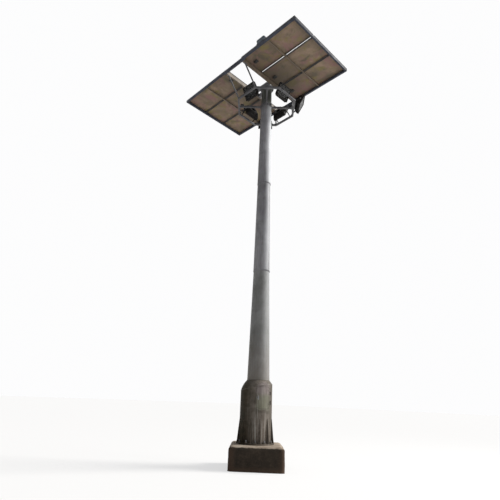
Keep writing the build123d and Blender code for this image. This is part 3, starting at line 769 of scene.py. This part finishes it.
def wall_point(offset, level, radius):
    """Point on the curved wall at a sideways offset from the door's middle and a height above it."""
    ahead = math.sqrt(radius ** 2 - offset ** 2)
    return BASE + DOOR_SIDE * offset + DOOR_OUT * ahead + UP * (DOOR_LEVEL + level)


def door_loop(bm, inset, depth, size):
    """Round bar that runs round the door, set in from its edge and down from its face."""
    outline = rounded(DOOR_WIDTH / 2 - inset, DOOR_HALF_HEIGHT - inset, DOOR_CORNER - inset, 12)
    points = [wall_point(x, z, BASE_RADIUS - depth) for x, z in outline]
    sweep(bm, points, [size] * len(points), 8, loop=True, ref=DOOR_OUT)


def door_gasket(bm):
    """Rubber strip on the inside of the door, near its edge."""
    door_loop(bm, 0.022, 0.0125, 0.004)


def door_pressing(bm):
    """Raised pressing on the door's face that keeps it from bending."""
    for inset in (0.050, 0.066):
        door_loop(bm, inset, 0.0005, 0.0022)


HINGE_LEVELS = [DOOR_LEVEL + hand * (DOOR_HALF_HEIGHT - HINGE_INSET) for hand in (-1, 1)]


def leaf_screws(bm, hand):
    """Domed screws through the hinge leaves, on one side of the hinge."""
    out = around(HINGE_ANGLE + hand * math.degrees(0.030 / BASE_RADIUS))
    for level in HINGE_LEVELS:
        for step in (-0.030, 0.0, 0.030):
            screw(bm, facing(BASE + out * LEAF_OUTER + UP * (level + step), UP, out), 0.0055, 0.0025)


def pin_heads(bm):
    """Riveted ends of the hinge pins."""
    for level in HINGE_LEVELS:
        lathe(bm, at(PIN.x, PIN.y, level + 0.045), [(0.0075, 0.0005), (0.0075, 0.003), (0.005, 0.0055)], 16)


def lock_plate(bm):
    """Escutcheon round the handle's boss, with its two screws."""
    offset = 0.048 - DOOR_WIDTH / 2
    centre = wall_point(offset, 0.0, BASE_RADIUS)
    out = (centre - BASE - UP * DOOR_LEVEL).normalized()
    place = facing(centre - out * 0.001, UP, out)
    collar = [(0.0175, 0.0), (0.030, 0.0), (0.030, 0.003), (0.0275, 0.0045), (0.0175, 0.0045)]
    lathe(bm, place, collar, 28, loop=True)
    for hand in (-1, 1):
        screw(bm, place @ at(hand * 0.0235, 0.0, 0.004), 0.0035, 0.002)


build(door_gasket, gasket_rubber, body="door", slot="black_plastic")
build(door_pressing, door_steel, body="door", slot="dusty_steel")
build(lambda bm: leaf_screws(bm, -1), bolt_zinc, body="door", name="door_screws")
build(lambda bm: leaf_screws(bm, 1), bolt_zinc, name="post_screws")
build(pin_heads, bolt_zinc)
build(lock_plate, bolt_zinc, body="door")


# ---------- mast

def mast_seams(bm):
    """Lengthwise weld of each tapered mast section, each on its own side."""
    ends = (lower_low.z, middle_low.z, upper_low.z, upper_high.z)
    for low, high, degrees in zip(ends, ends[1:], (195.0, 15.0, 255.0)):
        out = around(degrees)
        count = round((high - low) / 0.014)
        levels = [low + (high - low) * i / count for i in range(1, count)]
        weld(bm, [out * (mast_radius(z + 1e-6) + 0.0005) + UP * z for z in levels], 0.0045, ref=out)


def slip_lips(bm):
    """Sealed lip where each mast section slips over the one below."""
    for low, tube in ((middle_low, middle_high), (upper_low, upper_high)):
        under = tube.x - MAST_WALL
        lathe(bm, at(0.0, 0.0, low.z), [
            (under - 0.0005, -0.010), (under + 0.004, -0.009), (tube.x + 0.001, -0.001),
            (tube.x + 0.0035, 0.004), (tube.x + 0.0035, 0.030), (tube.x - 0.001, 0.034),
        ], 64)


build(mast_seams, weld_steel)
build(slip_lips, zinc_head)


# ---------- mast head and canopy frame

HEAD_BEAM_HALF = 0.040
HEAD_BEAM_AT = (beam_high.y - beam_low.y) / 2 - HEAD_BEAM_HALF
BEAM_HALF = 0.030
CLEAT_LEG = 0.090
CLEAT_THICKNESS = 0.009
CLEAT_HEIGHT = 0.110
HANGER_PLATE = 0.009
MODULE_GAPS = {"module_frames_west": (0.014, 0.014), "module_frames_east": (0.048, 0.023)}


def head_bolts(bm):
    """Bolts up through the head plate, with short stiffeners between plate and mast."""
    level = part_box("head_plate")[0].z
    thickness = 0.008
    outline = [(0.183, -0.100), (0.188, -0.100), (0.252, -0.012), (0.252, 0.0), (0.183, 0.0)]
    for number in range(8):
        out = around(22.5 + 45.0 * number)
        hex_bolt(bm, hung(*(out * 0.228 + UP * level)), 0.030, 0.015, 0.024)
        fin = around(45.0 * number)
        side = UP.cross(fin)
        plate(bm, facing(UP * level + side * thickness / 2, fin, -side), outline, thickness)


def beam_cleats(bm):
    """Bolted angle cleats where the head beams meet the inner cross beams."""
    foot = (beam_low.z + beam_high.z - CLEAT_HEIGHT) / 2
    middle = CLEAT_THICKNESS / 2
    for hand_x, hand_y in CORNERS:
        end = beam_high.x if hand_x > 0 else beam_low.x
        for beam_y in (-HEAD_BEAM_AT, HEAD_BEAM_AT):
            place = at(end, beam_y + hand_y * HEAD_BEAM_HALF, foot)
            side_leg = place @ at(-hand_x * CLEAT_LEG / 2, hand_y * middle, 0.0)
            slab(bm, side_leg, (CLEAT_LEG, CLEAT_THICKNESS, CLEAT_HEIGHT))
            end_leg = place @ at(-hand_x * middle, hand_y * 0.050, 0.0)
            slab(bm, end_leg, (CLEAT_THICKNESS, 0.082, CLEAT_HEIGHT))
            for level in (0.028, CLEAT_HEIGHT - 0.028):
                side_bolt = Vector((-hand_x * 0.055, hand_y * CLEAT_THICKNESS, level))
                hex_bolt(bm, place @ facing(side_bolt, UP, NORTH * hand_y))
                end_bolt = Vector((-hand_x * CLEAT_THICKNESS, hand_y * 0.058, level))
                hex_bolt(bm, place @ facing(end_bolt, UP, EAST * -hand_x))


def edge_cleats(bm):
    """Short cleats at the corners where the cross beams meet the edge beams."""
    outer_low, outer_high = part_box("outer_cross_beams")
    beams = [low.x + BEAM_HALF for low in (inner_low, outer_low)]
    beams += [high.x - BEAM_HALF for high in (inner_high, outer_high)]
    for x in beams:
        for side, hand in CORNERS:
            y = edge_low.y + 0.09 if hand > 0 else edge_high.y - 0.09
            if edge_low.x + BEAM_HALF < x + side * 0.035 < edge_high.x - BEAM_HALF:
                place = at(x + side * (BEAM_HALF + CLEAT_THICKNESS / 2), y, edge_low.z + 0.010)
                slab(bm, place, (CLEAT_THICKNESS, 0.060, 0.055))
                bolt = Vector((side * CLEAT_THICKNESS / 2, hand * 0.006, 0.028))
                hex_bolt(bm, place @ facing(bolt, UP, EAST * side), 0.018, 0.008, 0.014)


def link_bolts(bm):
    """Bolts that hold each tapered stiffener up to its edge beam."""
    link_low, link_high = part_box("link_beams")
    middle = (link_low.x + link_high.x) / 2
    for y in (edge_low.y + BEAM_HALF, edge_high.y - BEAM_HALF):
        for step in (-0.36, -0.18, 0.0, 0.18, 0.36):
            hex_bolt(bm, hung(middle + step, y, link_low.z), 0.024, 0.011, 0.018)


def hanger_plates(bm):
    """Bolted end plates on the ring's hangers, at the beams above and on the ring below."""
    hanger_low, hanger_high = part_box("ring_hangers")
    level = hanger_high.z - HANGER_PLATE
    for hand_x, hand_y in CORNERS:
        x = inner_high.x - BEAM_HALF if hand_x > 0 else inner_low.x + BEAM_HALF
        y = hanger_high.y - 0.02 if hand_y > 0 else hanger_low.y + 0.02
        slab(bm, at(x, y, level), (0.058, 0.150, HANGER_PLATE))
        for step in (-0.055, 0.055):
            hex_bolt(bm, hung(x, y + step, level))
        foot = Vector((hand_x * math.tan(RING_TILT), hand_y, 0.0)) * RING_CENTRE
        slab(bm, at(foot.x, foot.y, ring_high.z + 0.008), (0.068, 0.056, 0.008))


def module_rows(node):
    """Middle and width of each module in a wing, with the gap that follows it."""
    low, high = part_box(node)
    gaps = MODULE_GAPS[node]
    width = (high.y - low.y - sum(gaps)) / 3
    y = low.y + width / 2
    for gap in (*gaps, 0.0):
        yield y, width, gap
        y += width + gap


def module_clamps(bm):
    """Clamps across the gaps between modules, above each cross beam and rail."""
    rail_low, rail_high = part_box("middle_rails")
    outer_low, outer_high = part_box("outer_cross_beams")
    wings = [
        ("module_frames_west", (outer_low.x + 0.05, rail_low.x + 0.02, inner_low.x + 0.01)),
        ("module_frames_east", (inner_high.x - 0.01, rail_high.x - 0.02, outer_high.x - 0.05)),
    ]
    for node, places in wings:
        for middle, width, gap in list(module_rows(node))[:-1]:
            for x in places:
                place = at(x, middle + (width + gap) / 2, MODULE_TOP)
                slab(bm, place @ at(0.0, 0.0, -0.0005), (0.045, gap + 0.026, 0.005))
                slab(bm, place @ at(0.0, 0.0, -0.038), (0.040, gap * 0.7, 0.038))
                hex_bolt(bm, place @ at(0.0, 0.0, 0.004), 0.013, 0.005, 0.009)


def box_fittings(bm):
    """Lids, screws and cable glands of the junction boxes under the modules."""
    low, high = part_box("junction_boxes")
    width, depth = 0.160, 0.110
    lid = low.z - 0.004
    gland = [(0.0105, 0.0), (0.0105, 0.009), (0.008, 0.010), (0.008, 0.017), (0.0055, 0.021)]
    for node, x in (("module_frames_west", low.x + width / 2), ("module_frames_east", high.x - width / 2)):
        for y, _, _ in module_rows(node):
            slab(bm, hung(x, y, low.z + 0.0005), (width - 0.014, depth - 0.014, 0.005))
            for step in (-0.045, -0.015, 0.015, 0.045):
                slab(bm, hung(x + step, y, lid), (0.006, depth - 0.05, 0.004), 0.001)
            for side_x, side_y in CORNERS:
                screw(bm, hung(x + side_x * 0.064, y + side_y * 0.040, lid), 0.004, 0.002)
            for step in (-0.035, 0.035):
                spot = Vector((x + step, y - depth / 2 + 0.001, low.z + 0.014))
                lathe(bm, facing(spot, UP, -NORTH), gland, 12)


build(head_bolts, zinc_head)
build(beam_cleats, zinc_head)
build(edge_cleats, rail_zinc, slot="dark_beam_steel")
build(link_bolts, bolt_zinc, slot="dark_beam_steel")
build(hanger_plates, zinc_head)
build(module_clamps, frame_metal_painted_shade, slot="module_aluminium")
build(box_fittings, black_plastic, slot="black_plastic")


# ---------- lamp ring

CHEEK_AT = 0.292
ARM_INNER = 0.218
WEB_THICKNESS = 0.008
CONDUIT_BOX_AT = 0.895


def arm_way(number):
    """Direction of one of the four arms that carry the ring."""
    return around(45.0 + 90.0 * number)


def ring_gussets(bm):
    """Splice plates over the ring's corners and web plates beside its arms."""
    tip = 0.028 / math.cos(RING_TILT)
    back = 0.070 * math.sin(RING_TILT)
    wide = 0.070 * math.cos(RING_TILT)
    splice = [(tip, 0.0), (tip - back, wide), (-tip - back, wide), (-tip - back, -wide), (tip - back, -wide)]
    for number in range(8):
        out = around(RING_TURN * (number + 0.5))
        place = facing(out * RING_CORNER + UP * ring_high.z, out, UP)
        plate(bm, place, splice, WEB_THICKNESS)
        for hand in (-1, 1):
            along_bar = Vector((-math.sin(RING_TILT), hand * math.cos(RING_TILT), 0.0))
            bolt = place @ (along_bar * 0.045 + UP * WEB_THICKNESS)
            hex_bolt(bm, at(*bolt), 0.016, 0.008, 0.012)
    ring_inner = RING_CENTRE - RING_BAR / 2
    ring_web = [(ring_inner - 0.110, 0.024), (ring_inner + 0.002, 0.024), (ring_inner + 0.002, 0.120)]
    collar_web = [(ARM_INNER - 0.004, 0.024), (ARM_INNER + 0.085, 0.024), (ARM_INNER - 0.012, 0.085)]
    for number in range(4):
        level = (ring_low.z + ring_high.z - WEB_THICKNESS) / 2
        place = facing(UP * level, arm_way(number), UP)
        for hand in (-1, 1):
            for web in (ring_web, collar_web):
                plate(bm, place, [(reach, hand * side) for reach, side in web], WEB_THICKNESS)


def cheek_feet(bm):
    """Angle feet that bolt the lamp cheeks to the ring."""
    for number in LAMPS:
        side = Vector(joints[f"lamp_tilt_{number}"]["axis"])
        out = side.cross(UP)
        for hand in (-1, 1):
            spot = out * RING_CENTRE + side * hand * (CHEEK_AT + 0.024) + UP * ring_high.z
            slab(bm, facing(spot, side, UP), (0.040, 0.046, 0.006))
            hex_bolt(bm, facing(spot + side * hand * 0.004 + UP * 0.006, side, UP), 0.016, 0.008, 0.011)


def arm_conduits(bm):
    """Rigid conduits along the ring's arms, under saddles, each to a small junction box."""
    gland = [(0.011, 0.0), (0.011, 0.010), (0.008, 0.011), (0.008, 0.018), (0.0055, 0.022)]
    for number in range(4):
        place = facing(UP * ring_high.z, arm_way(number), UP)
        points = [place @ Vector((0.235 + 0.06 * i, 0.0, 0.013)) for i in range(11)]
        sweep(bm, points, [0.010] * len(points), 12)
        for reach in (0.30, 0.52, 0.74):
            slab(bm, place @ at(reach, 0.0, 0.001), (0.018, 0.048, 0.0245), 0.004)
        slab(bm, place @ at(CONDUIT_BOX_AT, 0.0, 0.001), (0.120, 0.090, 0.055), 0.005)
        slab(bm, place @ at(CONDUIT_BOX_AT, 0.0, 0.056), (0.126, 0.096, 0.007), 0.002)
        for hand in (-1, 1):
            spot = Vector((CONDUIT_BOX_AT, hand * 0.044, 0.026))
            lathe(bm, place @ facing(spot, UP, NORTH * hand), gland, 12)


def collar_clamp(bm):
    """Bolted ears where the two halves of the ring's collar meet on the mast."""
    middle = (ring_low.z + ring_high.z) / 2
    for hand_x, hand_y in CORNERS:
        out = EAST * hand_x
        side = NORTH * hand_y
        ear = out * (ARM_INNER + 0.020) + side * 0.009 + UP * (middle - 0.046)
        slab(bm, facing(ear, out, UP), (0.050, 0.010, 0.092))
        for step in (-0.026, 0.026):
            bolt = out * (ARM_INNER + 0.024) + side * 0.014 + UP * (middle + step)
            hex_bolt(bm, facing(bolt, UP, side), 0.020, 0.010, 0.014)


build(ring_gussets, ring_zinc)
build(cheek_feet, ring_zinc)
build(arm_conduits, black_plastic, slot="black_plastic")
build(collar_clamp, ring_zinc)


# ---------- floodlights

LAMP_WIDTH = 0.56
LAMP_HEIGHT = 0.50
LAMP_FRONT = 0.09
LAMP_BACK = -0.13
LAMP_AIM = math.radians(25.0)
BACK_WIDTH = 0.40
BACK_HEIGHT = 0.30


def lamp_place(number):
    """Placement of a lamp: x along its pivot, y up its face, z along its aim."""
    joint = joints[f"lamp_tilt_{number}"]
    side = Vector(joint["axis"])
    out = side.cross(UP)
    aim = out * math.cos(LAMP_AIM) - UP * math.sin(LAMP_AIM)
    return facing(Vector(joint["pos_m"]), side, aim)


def lamp_fins(bm, place):
    """Cooling fins on the lamp's back, either side of its driver box, and on its slopes."""
    half = BACK_HEIGHT / 2 - 0.012
    thickness = 0.0036
    for i in range(-7, 8):
        x = i * 0.0262
        spans = ((0.058, half), (-half, -0.058)) if abs(x) < 0.075 else ((-half, half),)
        for low, high in spans:
            fin = place @ facing(Vector((x - thickness / 2, 0.0, LAMP_BACK + 0.001)), NORTH, EAST)
            outline = [(low, 0.0), (low + 0.014, 0.040), (high - 0.014, 0.040), (high, 0.0)]
            plate(bm, fin, outline, thickness, 0.0008)
    for hand in (-1, 1):
        for i in range(6):
            z = LAMP_BACK + 0.020 + i * 0.026
            spread = (z - LAMP_BACK) / -LAMP_BACK
            reach = (BACK_HEIGHT + (LAMP_HEIGHT - 0.02 - BACK_HEIGHT) * spread) / 2
            width = BACK_WIDTH + (LAMP_WIDTH - 0.02 - BACK_WIDTH) * spread - 0.05
            slab(bm, place @ at(0.0, hand * (reach + 0.002), z), (width, 0.016, 0.003), 0.0008)


def lamp_driver(bm, place):
    """Driver box with a lid and a cable gland in the middle of the back."""
    back = place @ hung(0.0, 0.0, LAMP_BACK)
    slab(bm, back, (0.130, 0.100, 0.046), 0.006)
    slab(bm, back @ at(0.0, 0.0, 0.045), (0.136, 0.106, 0.007), 0.003)
    for side_x, side_y in CORNERS:
        screw(bm, back @ at(side_x * 0.059, side_y * 0.044, 0.0515), 0.004, 0.002)
    gland = [(0.013, 0.0), (0.013, 0.012), (0.010, 0.013), (0.010, 0.022), (0.006, 0.028)]
    lathe(bm, place @ facing(Vector((0.0, -0.049, LAMP_BACK - 0.022)), EAST, -NORTH), gland, 12)


def lamp_fasteners(bm, place):
    """Screws round the glass, and the nuts and washers on the pivots."""
    spots = [(x, y) for x in (-0.18, 0.0, 0.18) for y in (-0.236, 0.236)]
    spots += [(x, y) for x in (-0.266, 0.266) for y in (-0.11, 0.11)]
    for x, y in spots:
        screw(bm, place @ at(x, y, LAMP_FRONT), 0.006, 0.0028)
    for hand in (-1, 1):
        nut = place @ facing(EAST * hand * (CHEEK_AT + 0.0055), NORTH, EAST * hand)
        lathe(bm, nut, [(0.022, 0.0), (0.022, 0.0022), (0.021, 0.003)], 20)
        lathe(bm, nut, [(0.0185, 0.003), (0.0185, 0.0095), (0.017, 0.0105)], 6)


def frame_ring(place, width, height, z, corner=0.03):
    """Closed rounded rectangle of points across a placement."""
    return raised(place, rounded(width / 2, height / 2, corner, 4), z)


def lamp_reflector(bm, place):
    """Thin sloping tray inside the lamp, open to the glass."""
    mouth, floor, thickness = 0.068, -0.112, 0.006
    walls = [(0.446, 0.386, mouth), (0.352, 0.252, floor)]
    walls += [(width - thickness, height - thickness, z) for width, height, z in walls[::-1]]
    skin(bm, [frame_ring(place, *size) for size in walls], loop=True)
    skin(bm, [frame_ring(place, 0.356, 0.256, z) for z in (floor - 0.004, floor)])


def lamp_lenses(bm, place):
    """Grid of domed lenses over the diodes, on raised rows."""
    dome = [(0.019, 0.0), (0.019, 0.004), (0.0155, 0.010), (0.009, 0.0135), (0.003, 0.0145)]
    for row in range(4):
        y = (row - 1.5) * 0.058
        slab(bm, place @ at(0.0, y, -0.113), (0.330, 0.044, 0.006), 0.001)
        for column in range(6):
            lathe(bm, place @ at((column - 2.5) * 0.054, y, -0.107), dome, 16)


LAMP_DETAILS = [
    (lamp_fins, lamp_paint, "lamp_black"),
    (lamp_driver, lamp_paint, "lamp_black"),
    (lamp_fasteners, bolt_zinc, "galvanised_steel"),
    (lamp_reflector, lamp_tray, "lamp_black"),
    (lamp_lenses, lamp_lens, "lamp_glass"),
]
for number in LAMPS:
    place = lamp_place(number)
    for make, finish, slot in LAMP_DETAILS:
        name = f"{make.__name__}_{number}"
        build(lambda bm: make(bm, place), finish, body=f"lamp_{number}", slot=slot, name=name)


# ---------- edge unit

UNIT = Vector(((unit_low.x + unit_high.x) / 2, (unit_low.y + unit_high.y) / 2, unit_low.z))
UNIT_SIZE = unit_high - unit_low
UNIT_LAP = 0.140


def unit_shell(bm):
    """Sealed box: feet, walls with a rolled rib, and a lapped lid with a crowned top."""
    outline = [
        (0.016, 0.0), (0.010, 0.003), (0.010, 0.050), (0.006, 0.054), (0.006, 0.066), (0.010, 0.070),
        (0.010, UNIT_LAP), (0.001, UNIT_LAP + 0.001), (0.0, UNIT_LAP + 0.004), (0.0, UNIT_SIZE.z - 0.014),
        (0.003, UNIT_SIZE.z - 0.006), (0.010, UNIT_SIZE.z - 0.002), (0.040, UNIT_SIZE.z),
    ]
    skin(bm, [
        frame_ring(at(*UNIT), UNIT_SIZE.x - 2 * inset, UNIT_SIZE.y - 2 * inset, level, 0.045)
        for inset, level in outline
    ])


def unit_fittings(bm):
    """Toggle latches and louvres on the box's ends, lid screws, and its bracket's welds."""
    for hand in (-1, 1):
        out = EAST * hand
        face = UNIT + out * (UNIT_SIZE.x / 2 - 0.010)
        for step in (-0.11, 0.11):
            spot = face + UP * (UNIT_LAP - 0.012) + NORTH * step
            slab(bm, facing(spot, UP, out), (0.046, 0.022, 0.006), 0.002)
            slab(bm, facing(spot + UP * 0.004, UP, out), (0.030, 0.012, 0.0095), 0.002)
        for row in range(4):
            spot = face + UP * (0.082 + 0.011 * row)
            slab(bm, facing(spot, NORTH, out), (0.120, 0.0045, 0.005), 0.001)
        for step in (-0.12, 0.0, 0.12):
            spot = face + out * 0.009 + NORTH * step + UP * (UNIT_LAP + 0.022)
            screw(bm, facing(spot, UP, out), 0.005, 0.002)
    bracket_low, bracket_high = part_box("unit_bracket")
    for x in (bracket_low.x, bracket_high.x):
        levels = [edge_high.z - 0.002 - 0.009 * i for i in range(8)]
        weld(bm, [Vector((x, bracket_low.y + 0.0085, level)) for level in levels], 0.0045)


build(unit_shell, unit_paint, slot="unit_paint", stands_for="edge_unit")
build(unit_fittings, bolt_zinc)


# ---------- camera

PITCH = math.radians(20.37)
YAW = math.radians(1.83)
ROLL = math.radians(2.31)
DISTANCE = 12.314
EYE = 1.72
LENS = 29.09

level_right = across * math.cos(YAW) + away * math.sin(YAW)
level_ahead = away * math.cos(YAW) - across * math.sin(YAW)
ahead = level_ahead * math.cos(PITCH) + UP * math.sin(PITCH)
upward = UP * math.cos(PITCH) - level_ahead * math.sin(PITCH)
right = level_right * math.cos(ROLL) + upward * math.sin(ROLL)
up = upward * math.cos(ROLL) - level_right * math.sin(ROLL)

camera = bpy.data.objects.new("camera", bpy.data.cameras.new("camera"))
bpy.context.scene.collection.objects.link(camera)
camera.data.sensor_width = 36.0
camera.data.lens = LENS
camera.data.clip_end = 400.0
turn = Matrix((right, up, -ahead)).transposed().to_4x4()
camera.matrix_world = Matrix.Translation(UP * EYE - away * DISTANCE) @ turn
bpy.context.scene.camera = camera


# ---------- floor and light

floor_mesh = bpy.data.meshes.new("floor")
floor_mesh.from_pydata([(-150, -150, 0), (150, -150, 0), (150, 150, 0), (-150, 150, 0)], [], [(0, 1, 2, 3)])
floor = bpy.data.objects.new("floor", floor_mesh)
bpy.context.scene.collection.objects.link(floor)
pale = Shade("pale_floor")
floor_mesh.materials.append(pale.finish((0.82, 0.815, 0.81, 1.0), 0.9))
camera_ray = pale.node("LightPath").outputs["Is Camera Ray"]
backdrop = pale.node("Emission").outputs[0]
lifted = pale.node("MixShader", pale.times(camera_ray, 0.6), pale.bsdf.outputs[0], backdrop)
pale.put(pale.out.inputs["Surface"], lifted.outputs[0])

world = bpy.data.worlds.new("sky")
bpy.context.scene.world = world
world.use_nodes = True
sky = Graph(world.node_tree)
rays = sky.node("LightPath").outputs
seen = rays["Is Camera Ray"]
for kind in ("Is Glossy Ray", "Is Transmission Ray"):
    seen = sky.maths("MAXIMUM", seen, rays[kind])
shown = sky.node("Background", (0.98, 0.98, 0.985, 1.0), 1.0).outputs[0]
lit = sky.node("Background", (0.93, 0.95, 1.0, 1.0), 0.31).outputs[0]
sky.node("OutputWorld", sky.node("MixShader", seen, lit, shown).outputs[0])


def aim_light(name, kind, energy, source, target):
    """Light at a place (or, for a sun, in a direction), turned to face the target."""
    light = bpy.data.objects.new(name, bpy.data.lights.new(name, kind))
    bpy.context.scene.collection.objects.link(light)
    light.data.energy = energy
    light.location = source
    light.rotation_mode = "QUATERNION"
    light.rotation_quaternion = (source - target).to_track_quat("Z", "Y")
    return light


sun = aim_light("key", "SUN", 4.6, across * 8.8 + away * 1.8 + UP * 5.4, Vector())
sun.data.angle = math.radians(24.0)
sun.data.color = (1.0, 0.975, 0.93)
fill = aim_light("fill", "AREA", 760.0, across * 13.0 - away * 2.0 + UP * 8.0, UP * 6.0)
fill.data.size = 9.0
fill.data.color = (1.0, 0.985, 0.96)

bpy.context.scene.view_settings.view_transform = "Standard"
